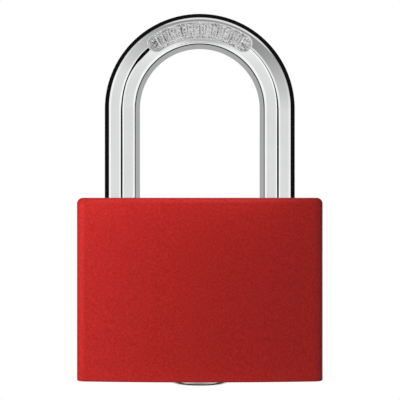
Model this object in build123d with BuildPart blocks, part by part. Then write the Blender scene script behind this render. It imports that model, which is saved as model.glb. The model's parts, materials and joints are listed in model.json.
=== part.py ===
from build123d import *
import math
import os

# Keyed safety padlock: an anodised block, an octagonal shackle held by two balls, and a five-pin cylinder.
# All sizes are in millimetres. Z = 0 is the plug's face. X runs from the shackle's toe (-X) to its heel (+X).

os.makedirs("parts", exist_ok=True)

# ---------------------------------------------------------------- driving dimensions
# Block
body_width = 45.0
body_thickness = 20.0
body_height = 33.5
face_bulge = 1.8  # the front and back faces are this much prouder in the middle than at the sides
body_corner_radius = 1.8
body_top_fillet = 1.1
body_bottom_fillet = 0.3
body_roof = 2.0  # metal left above the bore
bore_headroom = 0.2  # the bore ends this far above the ball channel
hole_mouth_chamfer = 0.35

# Shackle
shackle_sides = 8
shackle_flats = 6.35
shackle_edge_radius = 1.1
leg_spacing = 29.0
crown_clearance = 27.8  # top of the block to the inside of the crown
shackle_hole_gap = 0.18
shackle_end_chamfer = 0.6
toe_lip = 1.7
toe_floor_gap = 0.5
toe_open_clearance = 0.9  # the toe stands this far above the block when the shackle is up
collar_height = 3.0
neck_depth = 0.7
heel_floor = 2.0

# Stamped panel on the crown
panel_width = 3.3
panel_half_angle = 34.0
panel_depth = 0.78
rib_count = 15
rib_half_angle = 31.0
rib_length = 1.9
rib_width = 0.42
rib_height = 0.3

# Ball lock
ball_engagement = 1.4
toe_ball_travel = 3.0
heel_ball_travel = 0.9
cam_gap = 0.4
cam_hub = 2.4
cam_turn = 90.0
tang_length = 6.4
tang_width = 2.4
tang_bite = 2.0

# Cylinder
plug_radius = 4.75
plug_head_lip = 0.95
plug_proud = 1.2
plug_head_recess = 1.0
plug_face_fillet = 1.1
shell_wall = 0.7  # round the plug's head
pin_count = 5
pin_pitch = 3.0
pin_radius = 1.2
first_pin_wall = 0.5
pin_hole_reach = 1.0
driver_length = 4.5
key_cuts = [3.2, 4.4, 3.6, 4.8, 4.0]  # lengths of the bottom pins
pin_tip_length = 0.9
pin_tip_radius = 0.35
chamber_wall = 1.95
cover_thickness = 0.8
cover_margin = 0.4
clip_thickness = 0.6
clip_radius = 5.8
clip_groove_radius = 3.9
clip_slot = 5.0

# Keyway: each step of the slot is (x from, x to, y from, y to)
keyway_steps = [(-2.6, 0.3, -0.85, 0.35), (-0.3, 1.9, -0.35, 0.85), (1.5, 3.9, -0.95, 0.25)]
keyway_end_wall = 1.5

# Retaining screw
screw_radius = 1.5
screw_head_radius = 2.6
screw_head_height = 1.5
screw_head_gap = 0.1
screw_bite = 2.8
screw_slot_width = 0.8
screw_slot_depth = 0.7
screw_wall = 1.2

# Springs
shackle_spring_radius = 2.4
shackle_spring_wire = 0.35
shackle_spring_turns = 7
pin_spring_radius = 0.85
pin_spring_wire = 0.14
pin_spring_turns = 8
drain_radius = 0.8

# Small edge breaks and clearances
small_chamfer = 0.15
running_gap = 0.05
channel_gap = 0.08
groove_gap = 0.12
seat_gap = 0.04
end_gap = 0.15

# ---------------------------------------------------------------- sizes that follow
body_bottom = plug_proud
body_top = body_bottom + body_height
leg_x = leg_spacing / 2
half_side = math.pi / shackle_sides
leg_reach = (shackle_flats / 2 - shackle_edge_radius) / math.cos(half_side) + shackle_edge_radius
shackle_hole_radius = leg_reach + shackle_hole_gap

plug_head_radius = plug_radius + plug_head_lip
shell_bore = plug_radius + running_gap
head_bore = plug_head_radius + running_gap
shell_radius = head_bore + shell_wall
body_bore = shell_radius + seat_gap
cam_radius = body_bore - cam_gap

ball_outer = leg_x - leg_reach + ball_engagement
ball_inner = cam_radius + running_gap
ball_radius = (ball_outer - ball_inner) / 2
ball_x = (ball_outer + ball_inner) / 2
channel_radius = ball_radius + channel_gap
bore_top = body_top - body_roof
ball_z = bore_top - bore_headroom - channel_radius

groove_radius = ball_radius + groove_gap
notch_half = math.sqrt(groove_radius**2 - (groove_radius - ball_engagement - groove_gap) ** 2)
toe_end = ball_z - notch_half - toe_lip
toe_floor = toe_end - toe_floor_gap
shackle_lift = body_top - toe_end + toe_open_clearance

collar_bite = ball_engagement - heel_ball_travel
ring_half = math.sqrt(ball_radius**2 - (ball_radius - collar_bite) ** 2) + end_gap
ring_bottom = ball_z - shackle_lift - ring_half
heel_end = ring_bottom - collar_height
heel_hole_floor = body_bottom + heel_floor
bend_z = body_top + crown_clearance - (leg_x - leg_reach)

chamber_radius = pin_radius + running_gap
head_top = body_bottom + plug_head_recess
first_pin_z = head_top + running_gap + first_pin_wall + chamber_radius
pin_z = [first_pin_z + pin_pitch * k for k in range(pin_count)]
shell_top = pin_z[-1] + chamber_radius + screw_bite + cover_margin
bible_reach = leg_x + screw_radius + screw_wall
bible_half = chamber_radius + chamber_wall
cover_half = chamber_radius + cover_margin
cover_length = pin_z[-1] - pin_z[0] + 2 * cover_half
cover_inner = -(bible_reach - cover_thickness)
driver_face = -(shell_bore + seat_gap)
driver_back = driver_face - driver_length

cam_bottom = ball_z - channel_radius - cam_hub
cam_top = bore_top - end_gap
plug_end = cam_bottom - end_gap
clip_bottom = shell_top + running_gap
screw_seat = toe_floor - screw_head_height - screw_head_gap


def polar(radius, degrees, z):
    """A point at a radius and angle round the cylinder's axis."""
    angle = math.radians(degrees)
    return Vector(radius * math.cos(angle), radius * math.sin(angle), z)


def write(part, name):
    """Label a finished piece and write it as its own STEP file."""
    part.label = name
    export_step(part, f"parts/{name}.step")


# ---------------------------------------------------------------- lock body
with BuildPart() as lock_body:
    side_y = body_thickness / 2 - face_bulge
    side_x = body_width / 2
    with BuildSketch(Plane.XY.offset(body_bottom)):
        with BuildLine():
            ThreePointArc((-side_x, -side_y), (0, -body_thickness / 2), (side_x, -side_y))
            Line((side_x, -side_y), (side_x, side_y))
            ThreePointArc((side_x, side_y), (0, body_thickness / 2), (-side_x, side_y))
            Line((-side_x, side_y), (-side_x, -side_y))
        make_face()
    extrude(amount=body_height)
    fillet(lock_body.edges().filter_by(Axis.Z), body_corner_radius)
    fillet(lock_body.faces().sort_by(Axis.Z)[-1].edges(), body_top_fillet)
    fillet(lock_body.faces().sort_by(Axis.Z)[0].edges(), body_bottom_fillet)

    # Stepped bore for the cylinder and the cam, with the pocket for the pin chamber beside it
    with BuildSketch(Plane.XY.offset(body_bottom)):
        Circle(body_bore)
    extrude(amount=bore_top - body_bottom, mode=Mode.SUBTRACT)
    with BuildSketch(Plane.XY.offset(body_bottom)):
        with Locations((-(bible_reach + seat_gap) / 2, 0)):
            Rectangle(bible_reach + seat_gap, 2 * (bible_half + seat_gap))
    extrude(amount=shell_top + seat_gap - body_bottom, mode=Mode.SUBTRACT)

    # Shackle holes, ball channel, screw hole and drain
    with Locations((leg_x, 0, body_top)):
        Hole(shackle_hole_radius, depth=body_top - heel_hole_floor)
        Hole(drain_radius, depth=body_height)
    with Locations((-leg_x, 0, body_top)):
        Hole(shackle_hole_radius, depth=body_top - toe_floor)
        Hole(screw_head_radius + screw_head_gap, depth=body_top - screw_seat)
        Hole(screw_radius + running_gap, depth=body_top - shell_top)
    with BuildSketch(Plane.YZ.offset(-leg_x)):
        with Locations((0, ball_z)):
            Circle(channel_radius)
    extrude(amount=leg_spacing, mode=Mode.SUBTRACT)
    top_circles = lock_body.faces().sort_by(Axis.Z)[-1].edges().filter_by(GeomType.CIRCLE)
    mouths = top_circles.filter_by(lambda edge: abs(edge.radius - shackle_hole_radius) < seat_gap)
    chamfer(mouths, hole_mouth_chamfer)
write(lock_body.part, "lock_body")

# ---------------------------------------------------------------- shackle
panel_arc = CenterArc((0, bend_z), leg_x, 90 - panel_half_angle, 2 * panel_half_angle)
panel_floor = leg_reach - panel_depth

with BuildPart() as shackle:
    with BuildLine() as bend:
        Line((-leg_x, 0, toe_end), (-leg_x, 0, bend_z))
        ThreePointArc((-leg_x, 0, bend_z), (0, 0, bend_z + leg_x), (leg_x, 0, bend_z))
        Line((leg_x, 0, bend_z), (leg_x, 0, heel_end))
    with BuildSketch(Plane((-leg_x, 0, toe_end), x_dir=(1, 0, 0), z_dir=(0, 0, 1))) as section:
        RegularPolygon(shackle_flats / 2, shackle_sides, major_radius=False)
        fillet(section.vertices(), shackle_edge_radius)
    sweep(path=bend.wires()[0])
    toe_face = shackle.faces().filter_by(Axis.Z).sort_by(Axis.X)[0]
    chamfer(toe_face.edges(), shackle_end_chamfer)
    heel_face = shackle.faces().filter_by(Axis.Z).sort_by(Axis.X)[-1]
    chamfer(heel_face.edges(), shackle_end_chamfer)

    # Ring groove above the collar, in which the heel ball sits when the shackle is up
    with BuildSketch(Plane.XY.offset(ring_bottom)):
        with Locations((leg_x, 0)):
            Circle(shackle_hole_radius)
            Circle(leg_reach - neck_depth, mode=Mode.SUBTRACT)
    extrude(amount=2 * ring_half, mode=Mode.SUBTRACT)

    # Ball notches: each is deepest at rest and runs out along the ball's path down the rising leg
    for start_x, inward in ((-ball_x, toe_ball_travel), (ball_x, -heel_ball_travel)):
        rest_place = Vector(start_x, 0, ball_z)
        open_place = Vector(start_x + inward, 0, ball_z - shackle_lift)
        with BuildSketch(Plane(rest_place, z_dir=open_place - rest_place)):
            Circle(groove_radius)
        extrude(amount=(open_place - rest_place).length, mode=Mode.SUBTRACT)
        with Locations(rest_place, open_place):
            Sphere(groove_radius, mode=Mode.SUBTRACT)

    # Panel sunk in the front ridge of the crown, with a row of plain ribs
    with BuildSketch(Plane.XZ.offset(panel_floor)):
        SlotArc(panel_arc, panel_width)
    extrude(amount=panel_depth, mode=Mode.SUBTRACT)
    with BuildSketch(Plane.XZ.offset(panel_floor)):
        with Locations((0, bend_z)):
            first_rib_angle = 90 - rib_half_angle
            with PolarLocations(leg_x, rib_count, first_rib_angle, 2 * rib_half_angle, endpoint=True):
                Rectangle(rib_length, rib_width)
    extrude(amount=rib_height)
write(shackle.part, "shackle")

# ---------------------------------------------------------------- locking balls
for ball_name, centre_x in (("toe_locking_ball", -ball_x), ("heel_locking_ball", ball_x)):
    with BuildPart() as locking_ball:
        with Locations((centre_x, 0, ball_z)):
            Sphere(ball_radius)
    write(locking_ball.part, ball_name)

# ---------------------------------------------------------------- actuator cam
with BuildPart() as actuator_cam:
    with BuildSketch(Plane.XY.offset(cam_bottom)):
        Circle(cam_radius)
    extrude(amount=cam_top - cam_bottom)
    chamfer(actuator_cam.edges().filter_by(GeomType.CIRCLE), small_chamfer)

    # A deep recess for the toe ball and a shallow one for the heel ball, each along the ball's own path
    for start_angle, travel in ((180.0, toe_ball_travel), (0.0, heel_ball_travel)):
        stops = [polar(ball_x - travel * t, start_angle - cam_turn * t, ball_z) for t in (0, 0.5, 1)]
        with BuildLine() as ball_path:
            ThreePointArc(*stops)
        with BuildSketch(Plane(stops[0], z_dir=ball_path.edges()[0] % 0)):
            Circle(groove_radius)
        sweep(path=ball_path.edges()[0], mode=Mode.SUBTRACT)
        with Locations(stops[0], stops[-1]):
            Sphere(groove_radius, mode=Mode.SUBTRACT)

    # Slot that takes the plug's tang
    with BuildSketch(Plane.XY.offset(cam_bottom)):
        Rectangle(tang_length + 2 * groove_gap, tang_width + 2 * groove_gap)
    extrude(amount=tang_bite + end_gap, mode=Mode.SUBTRACT)
write(actuator_cam.part, "actuator_cam")

# ---------------------------------------------------------------- cylinder shell
with BuildPart() as cylinder_shell:
    with BuildSketch(Plane.XY.offset(body_bottom)):
        Circle(shell_radius)
        with Locations((-bible_reach / 2, 0)):
            Rectangle(bible_reach, 2 * bible_half)
    extrude(amount=shell_top - body_bottom)
    with Locations(Plane((0, 0, body_bottom), z_dir=(0, 0, -1))):
        CounterBoreHole(shell_bore, head_bore, plug_head_recess + running_gap)
    with BuildSketch(Plane.YZ.offset(-bible_reach)):
        with Locations(*[(0, z) for z in pin_z]):
            Circle(chamber_radius)
    extrude(amount=bible_reach, mode=Mode.SUBTRACT)
    with BuildSketch(Plane.YZ.offset(-bible_reach)):
        with Locations((0, (pin_z[0] + pin_z[-1]) / 2)):
            Rectangle(2 * cover_half, cover_length)
    extrude(amount=cover_thickness, mode=Mode.SUBTRACT)
    with Locations((-leg_x, 0, shell_top)):
        Hole(screw_radius + running_gap, depth=screw_bite)
write(cylinder_shell.part, "cylinder_shell")

with BuildPart() as pin_chamber_cover:
    with BuildSketch(Plane.YZ.offset(-bible_reach)):
        with Locations((0, (pin_z[0] + pin_z[-1]) / 2)):
            Rectangle(2 * (cover_half - seat_gap), cover_length - 2 * seat_gap)
    extrude(amount=cover_thickness)
write(pin_chamber_cover.part, "pin_chamber_cover")

# ---------------------------------------------------------------- cylinder plug
with BuildPart() as cylinder_plug:
    with BuildSketch():
        Circle(plug_head_radius)
    extrude(amount=head_top)
    fillet(cylinder_plug.edges().sort_by(Axis.Z)[0], plug_face_fillet)
    with BuildSketch(Plane.XY.offset(head_top)):
        Circle(plug_radius)
    extrude(amount=plug_end - head_top)
    with BuildSketch(Plane.XY.offset(plug_end)):
        Rectangle(tang_length, tang_width)
    extrude(amount=tang_bite + end_gap)
    with BuildSketch(Plane.XY.offset(clip_bottom)):
        Circle(plug_radius)
        Circle(clip_groove_radius, mode=Mode.SUBTRACT)
    extrude(amount=clip_thickness + 2 * running_gap, mode=Mode.SUBTRACT)

    # Warded keyway, and the pin holes that run across it
    with BuildSketch():
        for x_from, x_to, y_from, y_to in keyway_steps:
            with Locations(((x_from + x_to) / 2, (y_from + y_to) / 2)):
                Rectangle(x_to - x_from, y_to - y_from)
    extrude(amount=pin_z[-1] + keyway_end_wall, mode=Mode.SUBTRACT)
    with BuildSketch(Plane.YZ.offset(pin_hole_reach)):
        with Locations(*[(0, z) for z in pin_z]):
            Circle(chamber_radius)
    extrude(amount=-(pin_hole_reach + plug_head_radius), mode=Mode.SUBTRACT)
write(cylinder_plug.part, "cylinder_plug")

with BuildPart() as plug_retaining_clip:
    with BuildSketch(Plane.XY.offset(clip_bottom + running_gap)):
        Circle(clip_radius)
        Circle(clip_groove_radius + running_gap, mode=Mode.SUBTRACT)
        with Locations((clip_radius, 0)):
            Rectangle(2 * clip_radius, clip_slot, mode=Mode.SUBTRACT)
    extrude(amount=clip_thickness)
write(plug_retaining_clip.part, "plug_retaining_clip")

# ---------------------------------------------------------------- retaining screw
with BuildPart() as cylinder_retaining_screw:
    with BuildSketch(Plane.XY.offset(screw_seat)):
        with Locations((-leg_x, 0)):
            Circle(screw_head_radius)
    extrude(amount=screw_head_height)
    chamfer(cylinder_retaining_screw.edges().sort_by(Axis.Z)[-1], small_chamfer)
    with BuildSketch(Plane.XY.offset(screw_seat)):
        with Locations((-leg_x, 0)):
            Circle(screw_radius)
    extrude(amount=-(screw_seat - shell_top + screw_bite - end_gap))
    with BuildSketch(Plane.XY.offset(screw_seat + screw_head_height)):
        with Locations((-leg_x, 0)):
            Rectangle(2 * screw_head_radius, screw_slot_width)
    extrude(amount=-screw_slot_depth, mode=Mode.SUBTRACT)
write(cylinder_retaining_screw.part, "cylinder_retaining_screw")

# ---------------------------------------------------------------- pin stacks
for k, z in enumerate(pin_z):
    stack_axis = Axis((0, 0, z), (1, 0, 0))
    tip_x = -plug_radius + key_cuts[k]
    dome_edge = math.sqrt(plug_radius**2 - pin_radius**2)
    half_dome = math.asin(pin_radius / plug_radius) / 2
    dome_middle = (-plug_radius * math.cos(half_dome), z + plug_radius * math.sin(half_dome))
    with BuildPart() as bottom_pin:
        with BuildSketch(Plane.XZ):
            with BuildLine():
                ThreePointArc((-plug_radius, z), dome_middle, (-dome_edge, z + pin_radius))
                Polyline(
                    (-dome_edge, z + pin_radius),
                    (tip_x - pin_tip_length, z + pin_radius),
                    (tip_x, z + pin_tip_radius),
                    (tip_x, z),
                    (-plug_radius, z),
                )
            make_face()
        revolve(axis=stack_axis)
    write(bottom_pin.part, f"bottom_pin_{k + 1}")

    with BuildPart() as driver_pin:
        with BuildSketch(Plane.YZ.offset(driver_face)):
            with Locations((0, z)):
                Circle(pin_radius)
        extrude(amount=-driver_length)
        chamfer(driver_pin.edges().filter_by(GeomType.CIRCLE), small_chamfer)
    write(driver_pin.part, f"driver_pin_{k + 1}")

    spring_start = driver_back - pin_spring_wire - seat_gap
    spring_length = spring_start - cover_inner - pin_spring_wire - seat_gap
    with BuildPart() as pin_spring:
        with BuildLine() as pin_coil:
            Helix(
                spring_length / pin_spring_turns,
                spring_length,
                pin_spring_radius,
                center=(spring_start, 0, z),
                direction=(-1, 0, 0),
            )
        with BuildSketch(Plane(pin_coil.edges()[0] @ 0, z_dir=pin_coil.edges()[0] % 0)):
            Circle(pin_spring_wire)
        sweep(path=pin_coil.edges()[0], is_frenet=True)
    write(pin_spring.part, f"pin_spring_{k + 1}")

# ---------------------------------------------------------------- shackle spring
coil_bottom = heel_hole_floor + shackle_spring_wire + seat_gap
coil_length = heel_end - shackle_spring_wire - seat_gap - coil_bottom
with BuildPart() as shackle_spring:
    with BuildLine() as shackle_coil:
        Helix(
            coil_length / shackle_spring_turns,
            coil_length,
            shackle_spring_radius,
            center=(leg_x, 0, coil_bottom),
        )
    with BuildSketch(Plane(shackle_coil.edges()[0] @ 0, z_dir=shackle_coil.edges()[0] % 0)):
        Circle(shackle_spring_wire)
    sweep(path=shackle_coil.edges()[0], is_frenet=True)
write(shackle_spring.part, "shackle_spring")
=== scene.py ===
import bmesh
import bpy
import json
import math
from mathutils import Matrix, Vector, noise as fractal


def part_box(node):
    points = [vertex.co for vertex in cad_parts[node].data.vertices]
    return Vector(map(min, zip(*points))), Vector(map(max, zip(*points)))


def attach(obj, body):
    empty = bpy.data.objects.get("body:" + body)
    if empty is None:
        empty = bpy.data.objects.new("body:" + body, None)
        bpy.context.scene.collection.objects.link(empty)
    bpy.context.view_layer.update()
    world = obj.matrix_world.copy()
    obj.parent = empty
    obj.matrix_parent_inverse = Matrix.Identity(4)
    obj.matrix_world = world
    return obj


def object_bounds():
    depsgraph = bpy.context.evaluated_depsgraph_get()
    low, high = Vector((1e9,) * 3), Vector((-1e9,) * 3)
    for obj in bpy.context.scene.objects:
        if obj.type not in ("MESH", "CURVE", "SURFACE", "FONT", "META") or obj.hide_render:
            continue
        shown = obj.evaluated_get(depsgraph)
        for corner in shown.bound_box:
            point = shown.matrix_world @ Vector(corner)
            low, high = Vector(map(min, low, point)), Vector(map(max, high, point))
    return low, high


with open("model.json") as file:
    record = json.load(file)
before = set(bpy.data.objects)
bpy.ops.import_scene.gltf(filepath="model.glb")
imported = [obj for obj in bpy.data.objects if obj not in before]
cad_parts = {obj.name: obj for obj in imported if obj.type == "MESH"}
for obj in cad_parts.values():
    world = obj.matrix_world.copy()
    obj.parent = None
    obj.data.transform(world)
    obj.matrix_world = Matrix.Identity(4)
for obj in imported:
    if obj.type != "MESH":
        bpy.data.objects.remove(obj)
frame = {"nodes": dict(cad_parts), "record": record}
cad_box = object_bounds()

MM = 0.001
WHITE = (1.0, 1.0, 1.0, 1.0)


# ---------------------------------------------------------------- node helpers
def new_material(name):
    """An empty node material with a Principled shader wired to its output."""
    material = bpy.data.materials.new(name)
    material.use_nodes = True
    tree = material.node_tree
    tree.nodes.clear()
    shader = tree.nodes.new("ShaderNodeBsdfPrincipled")
    output = tree.nodes.new("ShaderNodeOutputMaterial")
    tree.links.new(shader.outputs["BSDF"], output.inputs["Surface"])
    return material, tree, shader


def node(tree, kind, inputs=None, **settings):
    """One node, with its properties and inputs set. A link is given as the output socket it comes from."""
    made = tree.nodes.new(kind)
    for key, value in settings.items():
        setattr(made, key, value)
    for key, value in (inputs or {}).items():
        if isinstance(value, bpy.types.NodeSocket):
            tree.links.new(value, made.inputs[key])
        else:
            made.inputs[key].default_value = value
    return made


def ramp(tree, fac, stops):
    """A colour ramp. Each stop is (place, grey or colour)."""
    made = node(tree, "ShaderNodeValToRGB", {"Fac": fac})
    elements = made.color_ramp.elements
    while len(elements) > 1:
        elements.remove(elements[-1])
    for index, (place, value) in enumerate(stops):
        element = elements[0] if index == 0 else elements.new(place)
        element.position = place
        colour = (value, value, value) if isinstance(value, (int, float)) else value
        element.color = (*colour, 1.0)
    return made.outputs["Color"]


def maths(tree, operation, *values):
    """A Math node's result."""
    return node(tree, "ShaderNodeMath", dict(enumerate(values)), operation=operation).outputs[0]


def map_range(tree, value, from_min, from_max, to_min, to_max):
    """A value carried from one range to another, and held at its ends."""
    inputs = {"Value": value, "From Min": from_min, "From Max": from_max, "To Min": to_min, "To Max": to_max}
    return node(tree, "ShaderNodeMapRange", inputs).outputs["Result"]


def object_coords(tree):
    return node(tree, "ShaderNodeTexCoord").outputs["Object"]


def noise(tree, coords, scale, detail, roughness=0.5):
    inputs = {"Vector": coords, "Scale": scale, "Detail": detail, "Roughness": roughness}
    return node(tree, "ShaderNodeTexNoise", inputs).outputs["Fac"]


def bump(tree, height, distance, strength):
    inputs = {"Height": height, "Distance": distance, "Strength": strength}
    return node(tree, "ShaderNodeBump", inputs).outputs["Normal"]


def to_socket(tree, source, shader, socket):
    tree.links.new(source, shader.inputs[socket])


# ---------------------------------------------------------------- materials
RING_PITCH = 0.16 * MM  # between the rings that a lathe leaves


def red_anodised():
    """Bead-blasted, dyed and sealed aluminium: a fine even grain under a thin clear film."""
    material, tree, shader = new_material("red_anodised")
    coords = object_coords(tree)
    speckle = noise(tree, coords, scale=2600.0, detail=3.0, roughness=0.6)
    colour = ramp(tree, speckle, [(0.3, (0.42, 0.0125, 0.0100)), (0.7, (0.64, 0.0205, 0.0175))])
    to_socket(tree, colour, shader, "Base Color")
    shader.inputs["Metallic"].default_value = 0.15
    shader.inputs["Specular IOR Level"].default_value = 0.3
    grain = noise(tree, coords, scale=4200.0, detail=2.0, roughness=0.6)
    roughness = ramp(tree, grain, [(0.3, 0.44), (0.7, 0.56)])
    to_socket(tree, roughness, shader, "Roughness")
    to_socket(tree, bump(tree, grain, distance=0.03 * MM, strength=0.9), shader, "Normal")
    return material


def chrome():
    """Polished plate with the faintest haze and fine polishing marks."""
    material, tree, shader = new_material("polished_chrome")
    coords = object_coords(tree)
    shader.inputs["Metallic"].default_value = 1.0
    haze = noise(tree, coords, scale=240.0, detail=4.0)
    colour = ramp(tree, haze, [(0.3, (0.90, 0.905, 0.91)), (0.7, (0.94, 0.945, 0.95))])
    to_socket(tree, colour, shader, "Base Color")
    to_socket(tree, ramp(tree, haze, [(0.3, 0.03), (0.7, 0.06)]), shader, "Roughness")
    marks = noise(tree, coords, scale=2600.0, detail=3.0)
    to_socket(tree, bump(tree, marks, distance=0.0015 * MM, strength=0.2), shader, "Normal")
    return material


def stamped_chrome():
    """Chrome over a stamped floor: glossy, but broken up by the die's own rough surface."""
    material, tree, shader = new_material("stamped_chrome")
    coords = object_coords(tree)
    shader.inputs["Metallic"].default_value = 1.0
    haze = noise(tree, coords, scale=900.0, detail=4.0)
    colour = ramp(tree, haze, [(0.3, (0.78, 0.78, 0.785)), (0.7, (0.93, 0.93, 0.935))])
    to_socket(tree, colour, shader, "Base Color")
    to_socket(tree, ramp(tree, haze, [(0.3, 0.16), (0.7, 0.30)]), shader, "Roughness")
    marks = noise(tree, coords, scale=6000.0, detail=3.0)
    to_socket(tree, bump(tree, marks, distance=0.002 * MM, strength=0.5), shader, "Normal")
    return material


def patchy_metal(name, dark, light, roughness, patch_scale):
    """Metal whose colour and gloss vary together in small patches. Roughness is (lowest, highest)."""
    material, tree, shader = new_material(name)
    coords = object_coords(tree)
    shader.inputs["Metallic"].default_value = 1.0
    patches = noise(tree, coords, scale=patch_scale, detail=4.0)
    to_socket(tree, ramp(tree, patches, [(0.3, dark), (0.7, light)]), shader, "Base Color")
    to_socket(tree, ramp(tree, patches, [(0.25, roughness[0]), (0.75, roughness[1])]), shader, "Roughness")
    return material, tree, shader, coords


def turned_metal(name, dark, light, roughness):
    """Lathe-turned metal: fine rings about the cylinder's axis, with an uneven polish."""
    material, tree, shader, coords = patchy_metal(name, dark, light, roughness, patch_scale=420.0)
    split = node(tree, "ShaderNodeSeparateXYZ", {"Vector": coords})
    x_squared = maths(tree, "MULTIPLY", split.outputs["X"], split.outputs["X"])
    y_squared = maths(tree, "MULTIPLY", split.outputs["Y"], split.outputs["Y"])
    radius = maths(tree, "SQRT", maths(tree, "ADD", x_squared, y_squared))
    rings = maths(tree, "SINE", maths(tree, "MULTIPLY", radius, 2 * math.pi / RING_PITCH))
    to_socket(tree, bump(tree, rings, distance=0.002 * MM, strength=0.5), shader, "Normal")
    return material


def plain_metal(name, dark, light, roughness, grain_scale=2200.0):
    """Drawn, ground or plated metal: a fine uneven grain in colour, gloss and surface."""
    material, tree, shader, coords = patchy_metal(name, dark, light, roughness, patch_scale=600.0)
    grain = noise(tree, coords, scale=grain_scale, detail=2.0)
    to_socket(tree, bump(tree, grain, distance=0.004 * MM, strength=0.4), shader, "Normal")
    return material


MATERIALS = {
    "body_red": red_anodised(),
    "shackle_chrome": chrome(),
    "plug_nickel": turned_metal("nickel_plate", (0.62, 0.60, 0.56), (0.72, 0.70, 0.66), (0.16, 0.28)),
    "cylinder_brass": turned_metal("machined_brass", (0.62, 0.46, 0.20), (0.74, 0.57, 0.28), (0.22, 0.36)),
    "cam_steel": turned_metal("machined_steel", (0.44, 0.44, 0.45), (0.56, 0.56, 0.57), (0.26, 0.40)),
    "pin_brass": plain_metal("pin_brass", (0.66, 0.50, 0.22), (0.78, 0.61, 0.30), (0.18, 0.30)),
    "ball_steel": plain_metal("ball_steel", (0.62, 0.62, 0.63), (0.70, 0.70, 0.71), (0.06, 0.12),
                              grain_scale=1200.0),
    "screw_steel": plain_metal("zinc_plated_steel", (0.42, 0.42, 0.44), (0.52, 0.52, 0.55), (0.25, 0.40)),
    "spring_steel": plain_metal("spring_wire", (0.50, 0.50, 0.52), (0.60, 0.60, 0.62), (0.18, 0.30)),
    "clip_steel": plain_metal("phosphated_steel", (0.10, 0.10, 0.105), (0.15, 0.15, 0.155), (0.40, 0.55)),
}
for part in frame["record"]["subparts"]:
    cad = frame["nodes"][part["node"]]
    cad.data.materials.clear()
    cad.data.materials.append(MATERIALS[part["material_slot"]])


# ---------------------------------------------------------------- crown panel
shackle_low, shackle_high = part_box("shackle")
leg_reach = -shackle_low.y
bend_radius = shackle_high.x - leg_reach
bend_centre_z = shackle_high.z - shackle_high.x

# The panel sunk in the front of the crown, with its row of ribs
PANEL_HALF_WIDTH = 1.65 * MM
PANEL_HALF_ANGLE = math.radians(34.0)
PANEL_DEPTH = 0.78 * MM
RIB_COUNT = 15
RIB_HALF_ANGLE = math.radians(31.0)
RIB_HALF_LENGTH = 0.95 * MM
RIB_HALF_WIDTH = 0.21 * MM
RIB_HEIGHT = 0.30 * MM
RIB_EDGE = 0.10 * MM  # width of the slope round each rib
RIB_EVENING = 0.8  # share of the uneven floor that a rib's top loses

# The stamped surface over it
PANEL_SKIN = 0.03 * MM  # how far it stands off the plain floor and ribs
PANEL_STEP = 0.06 * MM
PANEL_ROOT = 0.10 * MM  # how far its underside is sunk in the steel
RIM_WIDTH = 0.16 * MM
RIM_RISE = 0.09 * MM
CAP_ROWS = 16
CAP_END = math.radians(85.0)
COARSE_SIZE = 0.42 * MM
COARSE_HEIGHT = 0.034 * MM
FINE_SIZE = 0.2 * MM
FINE_HEIGHT = 0.010 * MM
FINE_LAYER = 5.0 * MM  # takes the fine noise from another layer, so that it doesn't follow the coarse one


def smooth_step(value):
    value = min(max(value, 0.0), 1.0)
    return value * value * (3 - 2 * value)


def pebbles(x, z):
    """The uneven floor that the stamp leaves, as a height."""
    coarse = fractal.noise(Vector((x, z, 0.0)) / COARSE_SIZE)
    fine = fractal.noise(Vector((x, z, FINE_LAYER)) / FINE_SIZE)
    return COARSE_HEIGHT * coarse + FINE_HEIGHT * fine


def panel_height(x, z, angle, across, to_edge):
    """Height of the stamped surface above the plain floor of the panel."""
    pitch = 2 * RIB_HALF_ANGLE / (RIB_COUNT - 1)
    rib_index = min(max(round((angle + RIB_HALF_ANGLE) / pitch), 0), RIB_COUNT - 1)
    beside = abs(angle - (rib_index * pitch - RIB_HALF_ANGLE)) * bend_radius
    rib = smooth_step((RIB_HALF_WIDTH + RIB_EDGE - beside) / RIB_EDGE)
    rib *= smooth_step((RIB_HALF_LENGTH + RIB_EDGE - abs(across)) / RIB_EDGE)
    inside_rim = min(to_edge / RIM_WIDTH, 1.0)
    rim = RIM_RISE * (1 - inside_rim) ** 2
    uneven = pebbles(x, z) * (1 - RIB_EVENING * rib) * inside_rim
    return PANEL_SKIN + rib * RIB_HEIGHT + rim + uneven


def panel_rows():
    """Rows across the slot-shaped panel, from its left end to its right. Each row is (angle, shift past the
    end, half width)."""
    arc_rows = round(2 * PANEL_HALF_ANGLE * bend_radius / PANEL_STEP)
    rows = []
    for k in range(CAP_ROWS):
        turn = CAP_END * (1 - k / CAP_ROWS)
        past_end = PANEL_HALF_WIDTH * math.sin(turn)
        rows.append((-PANEL_HALF_ANGLE, -past_end, PANEL_HALF_WIDTH * math.cos(turn)))
    for k in range(arc_rows + 1):
        rows.append((PANEL_HALF_ANGLE * (2 * k / arc_rows - 1), 0.0, PANEL_HALF_WIDTH))
    rows += [(-angle, -shift, half) for angle, shift, half in reversed(rows[:CAP_ROWS])]
    return rows


def panel_points(rows, columns):
    """The stamped surface's points row by row, each row ending with its two points under the surface."""
    floor_y = -(leg_reach - PANEL_DEPTH)
    points = []
    for angle, shift, half in rows:
        outward = Vector((math.sin(angle), 0, math.cos(angle)))
        along = Vector((math.cos(angle), 0, -math.sin(angle)))
        base = Vector((0, floor_y, bend_centre_z)) + outward * bend_radius + along * shift
        for j in range(columns + 1):
            across = half * (2 * j / columns - 1)
            place = base + outward * across
            to_edge = max(PANEL_HALF_WIDTH - math.hypot(across, shift), 0.0)
            place.y -= panel_height(place.x, place.z, angle, across, to_edge)
            points.append(place)
        points.append(base - outward * half + Vector((0, PANEL_ROOT, 0)))
        points.append(base + outward * half + Vector((0, PANEL_ROOT, 0)))
    return points


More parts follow.
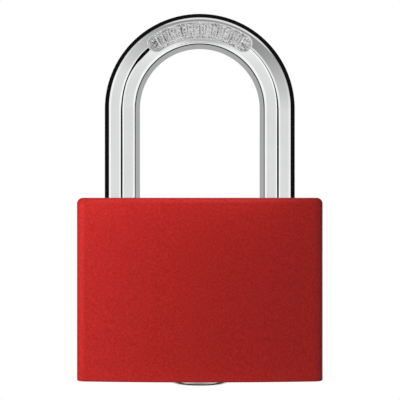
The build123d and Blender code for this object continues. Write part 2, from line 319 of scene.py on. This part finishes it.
def panel_faces(row_count, columns):
    """Faces that join each row to the next above, below and at both sides, and that close both ends."""
    stride = columns + 3
    faces = []
    for i in range(row_count - 1):
        here, there = i * stride, (i + 1) * stride
        for j in range(columns):
            faces.append((here + j, here + j + 1, there + j + 1, there + j))
        faces.append((here, there, there + columns + 1, here + columns + 1))
        faces.append((here + columns, here + columns + 2, there + columns + 2, there + columns))
        faces.append((here + columns + 1, there + columns + 1, there + columns + 2, here + columns + 2))
    faces.append([*range(columns + 1), columns + 2, columns + 1])
    last = (row_count - 1) * stride
    faces.append([last + k for k in [columns + 1, columns + 2, *reversed(range(columns + 1))]])
    return faces


def stamped_panel():
    """The stamped floor and ribs as one closed skin, laid on the panel's plain floor."""
    columns = round(2 * PANEL_HALF_WIDTH / PANEL_STEP)
    rows = panel_rows()
    mesh = bpy.data.meshes.new("crown_panel_stamping")
    mesh.from_pydata(panel_points(rows, columns), [], panel_faces(len(rows), columns))
    mesh.validate()
    skin = bmesh.new()
    skin.from_mesh(mesh)
    bmesh.ops.recalc_face_normals(skin, faces=skin.faces)
    skin.to_mesh(mesh)
    skin.free()
    mesh.shade_smooth()
    mesh.materials.append(stamped_chrome())
    piece = bpy.data.objects.new("crown_panel_stamping", mesh)
    bpy.context.scene.collection.objects.link(piece)
    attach(piece, "shackle")


stamped_panel()


# ---------------------------------------------------------------- stage
FLOOR_SIZE = 4.0
FLOOR_GAP = 0.02 * MM  # how far the floor lies below the lock
FLOOR_BOUNCE = 0.27  # how brightly the floor lights the lock
UP = Vector((0, 0, 1))
ARCH_STEPS = 32
# Reflectors' inner and outer edges, as (distance from the bend's centre, y)
OUTER_FLAG_EDGES = ((22.5 * MM, 6 * MM), (90 * MM, 6 * MM))
OUTER_FLAG_DROP = 2 * MM  # how far the flag's ends reach below the block's top
OUTER_FLAG_GREY = 0.006
GAP_CARD_EDGES = ((6.4 * MM, 1.5 * MM), (8.4 * MM, 3.5 * MM))
GAP_CARD_GREY = 0.42
# Cards on the block, as (name, y, grey)
BLOCK_CARDS = (("front_card", -5.5 * MM, 1.0), ("back_card", 6.5 * MM, 0.01))
CARD_SIZE = (46 * MM, 12 * MM)
CARD_GAP = 0.3 * MM  # how far the cards lie above the block


def staged_plane(name, size, place, facing, material):
    """A flat sheet that isn't part of the object. It faces from its place towards a point."""
    mesh = bpy.data.meshes.new(name)
    half_x, half_y = size[0] / 2, size[1] / 2
    corners = [(-half_x, -half_y, 0), (half_x, -half_y, 0), (half_x, half_y, 0), (-half_x, half_y, 0)]
    mesh.from_pydata(corners, [], [(0, 1, 2, 3)])
    mesh.materials.append(material)
    sheet = bpy.data.objects.new(name, mesh)
    bpy.context.scene.collection.objects.link(sheet)
    sheet.location = place
    direction = facing - sheet.location
    sheet.rotation_euler = direction.to_track_quat("Z", "Y").to_euler()
    return sheet


def one_sided_material(name, front):
    """A sheet's material. Its front shows what front(tree) makes, and its back can't be seen."""
    material = bpy.data.materials.new(name)
    material.use_nodes = True
    tree = material.node_tree
    tree.nodes.clear()
    clear = tree.nodes.new("ShaderNodeBsdfTransparent")
    side = node(tree, "ShaderNodeNewGeometry").outputs["Backfacing"]
    sheet = node(tree, "ShaderNodeMixShader", {0: side, 1: front(tree), 2: clear.outputs[0]})
    output = tree.nodes.new("ShaderNodeOutputMaterial")
    tree.links.new(sheet.outputs[0], output.inputs["Surface"])
    return material


def glowing(name, level):
    """A sheet that shows one even grey in reflections."""
    def glow(tree):
        return node(tree, "ShaderNodeEmission", {"Color": (level, level, level, 1.0)}).outputs[0]

    return one_sided_material(name, glow)


def pale_table(tree):
    """Plain white to look at, with a weaker light of its own where it only lights the lock."""
    seen = node(tree, "ShaderNodeEmission", {"Color": WHITE, "Strength": 1.0})
    bounced = node(tree, "ShaderNodeEmission", {"Strength": FLOOR_BOUNCE})
    rays = node(tree, "ShaderNodeLightPath")
    either = node(tree, "ShaderNodeMixShader",
                  {0: rays.outputs["Is Camera Ray"], 1: bounced.outputs[0], 2: seen.outputs[0]})
    return either.outputs[0]


def only_reflected(sheet):
    """Leaves a sheet to be seen in reflections alone."""
    sheet.visible_camera = False
    sheet.visible_diffuse = False
    sheet.visible_shadow = False


def reflector(name, edges, low_z, level):
    """An arch-shaped sheet that follows the shackle's outline and is seen only in reflections."""
    drop_to_ends = low_z - bend_centre_z
    path = [(-1.0, 0.0, drop_to_ends)]
    for k in range(ARCH_STEPS + 1):
        turn = math.pi * k / ARCH_STEPS
        path.append((-math.cos(turn), math.sin(turn), 0.0))
    path.append((1.0, 0.0, drop_to_ends))
    points = []
    for x, z, drop in path:
        for radius, y in edges:
            points.append((x * radius, y, bend_centre_z + z * radius + drop))
    faces = [(2 * k, 2 * k + 2, 2 * k + 3, 2 * k + 1) for k in range(len(path) - 1)]
    mesh = bpy.data.meshes.new(name)
    mesh.from_pydata(points, [], faces)
    mesh.materials.append(glowing(name + "_grey", level))
    sheet = bpy.data.objects.new(name, mesh)
    bpy.context.scene.collection.objects.link(sheet)
    only_reflected(sheet)


floor_place = Vector((0, 0, cad_box[0].z - FLOOR_GAP))
floor = staged_plane("floor", (FLOOR_SIZE, FLOOR_SIZE), floor_place, floor_place + UP,
                     one_sided_material("pale_floor", pale_table))
floor.visible_glossy = False

body_low, body_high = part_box("lock_body")
# A black flag outside the shackle, and a grey card in its gap, turned to face it
reflector("outer_flag", OUTER_FLAG_EDGES, body_high.z - OUTER_FLAG_DROP, OUTER_FLAG_GREY)
reflector("gap_card", GAP_CARD_EDGES, body_high.z, GAP_CARD_GREY)
# On the block between the legs: a white card in front and a dark one behind
for card_name, card_y, card_level in BLOCK_CARDS:
    card_place = Vector((0, card_y, body_high.z + CARD_GAP))
    card = staged_plane(card_name, CARD_SIZE, card_place, card_place + UP,
                        glowing(card_name + "_grey", card_level))
    only_reflected(card)


# ---------------------------------------------------------------- room
# Grey of the room by angle from straight in front of the lock, in degrees
ROOM_RINGS = [
    (0, 1.0), (38, 1.0), (41, 0.76), (53, 0.76), (56, 1.0), (90, 1.0),
    (95, 0.01), (127, 0.01), (131.5, 0.76), (146, 0.76), (150, 1.0), (180, 1.0),
]
# Brightness of the upper half of the room, by height with a lean to the right
CEILING = [(0.0, 1.0), (0.2, 1.0), (0.72, 0.40), (0.80, 0.40), (0.86, 0.8), (1.0, 0.8)]
CEILING_LEAN = 0.25
# The dark opening in front of the lock: a low band, and a long shape across it that leans to the left. Each
# has its middle and its half length and half width
BAND_MIDDLE = (0.0, 0.024)
BAND_HALF = (0.32, 0.050)
LEANING_MIDDLE = (0.056, 0.005)
LEANING_HALF = (0.50, 0.080)
SHAPE_POWER = 3.0  # how square the two shapes are
SHAPE_EDGE = (0.75, 1.25)  # where their soft edge starts and ends, with 1 for the edge's middle
SHAPE_GREY = 0.004
# Painted shade on the table in front of the lock, seen only in reflections: a greyer place by direction,
# with the angles where it starts and is full
TABLE_TILT = math.radians(38.8)
TABLE_SHADE_DIRECTION = Vector((-0.04, -math.cos(TABLE_TILT), -math.sin(TABLE_TILT))).normalized()
TABLE_START = math.radians(17.0)
TABLE_FULL = math.radians(5.0)
TABLE_SHADE_LEVEL = 0.54
# Painted shade under the lock, seen only in reflections, in brown by height: all brown at the first and none
# at the second
UNDER_SHADE_BROWN = (0.11, 0.085, 0.075, 1.0)
UNDER_SHADE_HEIGHTS = (-0.95, -0.82)
# The room's light for rays that are neither glossy nor the camera's, rising with height
FILL_START = 0.2  # the height where it starts to rise
FILL_LEVEL = 0.05  # up to there
FILL_ABOVE = 0.80  # straight above


def dark_within(tree, half, along, across):
    """Dark where the point is inside a rounded shape, and clear outside it."""
    sides = []
    for value, size in zip((along, across), half):
        share = maths(tree, "ABSOLUTE", maths(tree, "DIVIDE", value, size))
        sides.append(maths(tree, "POWER", share, SHAPE_POWER))
    return map_range(tree, maths(tree, "ADD", *sides), *SHAPE_EDGE, SHAPE_GREY, 1.0)


def opening_level(tree, split):
    """The dark opening's level. It is clear in the back half of the room."""
    def from_middle(middle):
        return (maths(tree, "SUBTRACT", split.outputs["X"], middle[0]),
                maths(tree, "SUBTRACT", split.outputs["Z"], middle[1]))

    band = dark_within(tree, BAND_HALF, *from_middle(BAND_MIDDLE))
    right, up = from_middle(LEANING_MIDDLE)
    diagonal = math.sqrt(0.5)
    along = maths(tree, "MULTIPLY", maths(tree, "SUBTRACT", up, right), diagonal)
    across = maths(tree, "MULTIPLY", maths(tree, "ADD", up, right), diagonal)
    leaning = dark_within(tree, LEANING_HALF, along, across)
    behind = maths(tree, "GREATER_THAN", split.outputs["Y"], 0.0)
    return maths(tree, "MAXIMUM", maths(tree, "MULTIPLY", band, leaning), behind)


def mirrored_room(tree):
    """The room's colour in reflections, by direction only, and that direction split into its parts."""
    direction = node(tree, "ShaderNodeTexCoord").outputs["Generated"]
    split = node(tree, "ShaderNodeSeparateXYZ", {"Vector": direction})
    towards_front = maths(tree, "MULTIPLY", split.outputs["Y"], -1.0)
    angle = maths(tree, "DIVIDE", maths(tree, "ARCCOSINE", towards_front), math.pi)
    level = ramp(tree, angle, [(degrees / 180, grey) for degrees, grey in ROOM_RINGS])
    opening = opening_level(tree, split)
    sideways = maths(tree, "MULTIPLY", split.outputs["X"], CEILING_LEAN)
    ceiling = ramp(tree, maths(tree, "ADD", split.outputs["Z"], sideways), CEILING)
    # Painted shade: reflections of the table are greyer round this direction, in front of the lock
    to_table = node(tree, "ShaderNodeVectorMath", {0: direction, 1: TABLE_SHADE_DIRECTION}, operation="DOT_PRODUCT")
    table = map_range(tree, to_table.outputs["Value"], math.cos(TABLE_START), math.cos(TABLE_FULL),
                      1.0, TABLE_SHADE_LEVEL)
    scale = maths(tree, "MULTIPLY", maths(tree, "MULTIPLY", ceiling, opening), table)
    dimmed = node(tree, "ShaderNodeVectorMath", {0: level, "Scale": scale}, operation="SCALE")
    # Painted shade: brown in reflections straight under the lock, in the front half of the room
    under = map_range(tree, split.outputs["Z"], *UNDER_SHADE_HEIGHTS, 1.0, 0.0)
    under_shade_share = maths(tree, "MULTIPLY", under, maths(tree, "GREATER_THAN", towards_front, 0.0))
    coloured = node(tree, "ShaderNodeMix", {0: under_shade_share, 6: dimmed.outputs["Vector"], 7: UNDER_SHADE_BROWN},
                    data_type="RGBA")
    return coloured.outputs[2], split


def studio_world():
    """A white room. In reflections it has darker parts: the opening, bands beside and behind the lock, a
    dimmer ceiling, and painted shade on the table, greyer in front of the lock and brown under it."""
    world = bpy.data.worlds.new("studio")
    bpy.context.scene.world = world
    world.use_nodes = True
    tree = world.node_tree
    tree.nodes.clear()
    room_colour, split = mirrored_room(tree)
    mirror = node(tree, "ShaderNodeBackground", {"Color": room_colour, "Strength": 1.0})
    white = node(tree, "ShaderNodeBackground", {"Color": WHITE, "Strength": 1.0})
    fill_level = map_range(tree, split.outputs["Z"], FILL_START, 1.0, FILL_LEVEL, FILL_ABOVE)
    fill = node(tree, "ShaderNodeBackground", {"Color": WHITE, "Strength": fill_level})
    rays = node(tree, "ShaderNodeLightPath")
    other = node(tree, "ShaderNodeMixShader",
                 {0: rays.outputs["Is Glossy Ray"], 1: fill.outputs[0], 2: mirror.outputs[0]})
    seen = node(tree, "ShaderNodeMixShader",
                {0: rays.outputs["Is Camera Ray"], 1: other.outputs[0], 2: white.outputs[0]})
    output = tree.nodes.new("ShaderNodeOutputWorld")
    tree.links.new(seen.outputs[0], output.inputs["Surface"])


studio_world()


# ---------------------------------------------------------------- lights
KEY_OFFSET = Vector((-85 * MM, -60 * MM, 0.0))  # from the block's middle
KEY_SIZE = (60 * MM, 60 * MM)
KEY_POWER = 0.084
STRIP_X = -8 * MM
STRIP_SIZE = (50 * MM, 4 * MM)
STRIP_AWAY = 5 * MM  # in front of the front face
STRIP_RISE = 6 * MM  # above the block's top, and its target's depth below it
STRIP_POWER = 0.0015
LOW_SIZE = (44 * MM, 0.5 * MM)
LOW_AWAY = 2 * MM  # in front of the front face
LOW_DROP = 0.5 * MM  # below the block's underside
LOW_TARGET_RISE = 1 * MM  # above the block's underside
LOW_POWER = 0.00006


def area_light(name, place, target, size, power):
    """A rectangular light aimed at a point. It isn't seen by the camera or in reflections."""
    data = bpy.data.lights.new(name, "AREA")
    data.shape = "RECTANGLE"
    data.size, data.size_y = size
    data.energy = power
    lamp = bpy.data.objects.new(name, data)
    bpy.context.scene.collection.objects.link(lamp)
    lamp.location = place
    lamp.rotation_euler = (target - lamp.location).to_track_quat("-Z", "Y").to_euler()
    lamp.visible_camera = False
    lamp.visible_glossy = False


middle = (body_low + body_high) / 2
area_light("key_light", middle + KEY_OFFSET, middle, KEY_SIZE, KEY_POWER)
# Strips close to the front face's upper and lower edges brighten them
strip_place = Vector((STRIP_X, body_low.y - STRIP_AWAY, body_high.z + STRIP_RISE))
strip_target = Vector((STRIP_X, body_low.y, body_high.z - STRIP_RISE))
area_light("strip_light", strip_place, strip_target, STRIP_SIZE, STRIP_POWER)
low_place = Vector((0, body_low.y - LOW_AWAY, body_low.z - LOW_DROP))
low_target = Vector((0, body_low.y, body_low.z + LOW_TARGET_RISE))
area_light("low_light", low_place, low_target, LOW_SIZE, LOW_POWER)


# ---------------------------------------------------------------- camera
LENS = 144.13  # focal length in millimetres
CAMERA_RIGHT = 0.04 * MM
CAMERA_AWAY = 300 * MM
CAMERA_DROP = 0.41 * MM  # below the block's top

camera_data = bpy.data.cameras.new("camera")
camera_data.lens = LENS
camera = bpy.data.objects.new("camera", camera_data)
bpy.context.scene.collection.objects.link(camera)
camera.location = (CAMERA_RIGHT, -CAMERA_AWAY, body_high.z - CAMERA_DROP)
camera.rotation_euler = (math.pi / 2, 0, 0)
bpy.context.scene.camera = camera
bpy.context.scene.view_settings.view_transform = "Standard"
